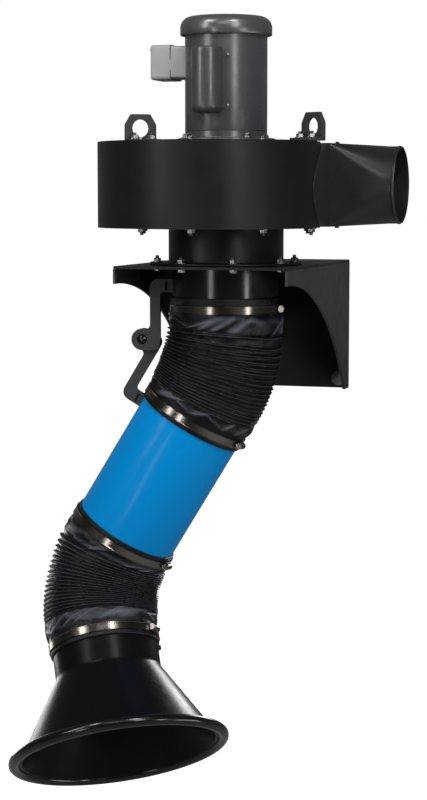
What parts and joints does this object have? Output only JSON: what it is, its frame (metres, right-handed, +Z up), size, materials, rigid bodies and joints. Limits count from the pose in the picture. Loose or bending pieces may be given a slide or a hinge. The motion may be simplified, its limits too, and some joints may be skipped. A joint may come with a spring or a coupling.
{
  "type": "fume extraction arm",
  "caption": "Wall bracket carrying a scroll blower and motor over a swivelling, hinged duct of tubes and ribbed hoses that ends in a tilting conical hood, for catching welding fume.",
  "frame": {"origin": "centre of the wall plate's back face, on the wall", "axes": "+Z up, +Y into the wall, +X to the right of a person facing the wall"},
  "size_m": [0.657, 0.6949, 1.5122],
  "materials": {
    "black_paint": "semi-gloss black powder coat",
    "grey_enamel": "gloss grey enamel",
    "blue_paint": "gloss blue paint",
    "link_paint": "satin dark grey paint",
    "zinc_steel": "bright zinc plate",
    "clamp_steel": "bright stainless band",
    "plain_steel": "plain machined steel",
    "bearing_steel": "ground bearing steel",
    "cast_alloy": "plain aluminium",
    "copper_wire": "varnished copper wire",
    "slide_plastic": "off-white slide plastic",
    "fan_plastic": "dark moulded plastic",
    "friction_lining": "dark friction lining",
    "hose_fabric": "matte coated fabric, blue-black"
  },
  "bodies": {
    "bracket": {"wall_plate": "black_paint", "bracket_top_plate": "black_paint", "gusset_left": "black_paint", "gusset_right": "black_paint", "wall_anchor_1": "zinc_steel", "wall_anchor_2": "zinc_steel", "wall_anchor_3": "zinc_steel", "wall_anchor_4": "zinc_steel", "retaining_ring": "plain_steel", "slide_ring": "slide_plastic", "inlet_spool": "black_paint", "inlet_cone": "plain_steel", "blower_bottom_plate": "black_paint", "blower_scroll": "black_paint", "blower_top_plate": "black_paint", "outlet_transition": "black_paint", "lifting_lug_left": "link_paint", "lifting_lug_right": "link_paint", "motor_flange": "grey_enamel", "motor_frame": "grey_enamel", "motor_end_bell": "cast_alloy", "fan_cover": "grey_enamel", "capacitor_cover": "grey_enamel", "capacitor": "cast_alloy", "conduit_box": "grey_enamel", "conduit_box_cover": "grey_enamel", "bearing_lower": "bearing_steel", "bearing_upper": "bearing_steel", "stator_core": "plain_steel", "winding_upper": "copper_wire", "winding_lower": "copper_wire"},
    "rotor": {"motor_shaft": "plain_steel", "rotor_core": "plain_steel", "cooling_fan": "fan_plastic", "impeller": "plain_steel"},
    "swivel": {"swivel_tube": "black_paint", "upper_link": "link_paint", "pivot_bolt": "plain_steel", "pivot_nut": "zinc_steel", "friction_disc": "friction_lining", "swivel_clamp_band": "clamp_steel", "swivel_clamp_screw": "clamp_steel", "upper_hose": "hose_fabric"},
    "arm": {"lower_link": "link_paint", "arm_tube": "blue_paint", "arm_upper_clamp_band": "clamp_steel", "arm_upper_clamp_screw": "clamp_steel", "arm_lower_clamp_band": "clamp_steel", "arm_lower_clamp_screw": "clamp_steel", "arm_yoke": "plain_steel", "lower_hose": "hose_fabric"},
    "gimbal": {"wrist_cross": "plain_steel"},
    "hood": {"hood_shell": "black_paint", "hood_yoke": "plain_steel", "hood_clamp_band": "clamp_steel", "hood_clamp_screw": "clamp_steel"}
  },
  "joints": [
    {"name": "fan_spin", "type": "hinge", "parent": "bracket", "child": "rotor", "pos_m": [0, -0.317, 0.28], "axis": [0, 0, 1], "continuous": true},
    {"name": "swivel_turn", "type": "hinge", "parent": "bracket", "child": "swivel", "pos_m": [0, -0.317, 0.129], "axis": [0, 0, 1], "range_deg": [-7, 173]},
    {"name": "shoulder", "type": "hinge", "parent": "swivel", "child": "arm", "pos_m": [-0.16278, -0.33699, -0.018], "axis": [-0.1219, 0.9925, 0], "range_deg": [-31, 44], "deforming": ["upper_hose"]},
    {"name": "wrist_pitch", "type": "hinge", "parent": "arm", "child": "gimbal", "pos_m": [-0.26045, -0.34898, -0.50019], "axis": [-0.1219, 0.9925, 0], "range_deg": [-13, 107], "deforming": ["lower_hose"]},
    {"name": "wrist_yaw", "type": "hinge", "parent": "gimbal", "child": "hood", "pos_m": [-0.26045, -0.34898, -0.50019], "axis": [0.9541, 0.1171, 0.2756], "range_deg": [-12, 68], "deforming": ["lower_hose"]}
  ]
}
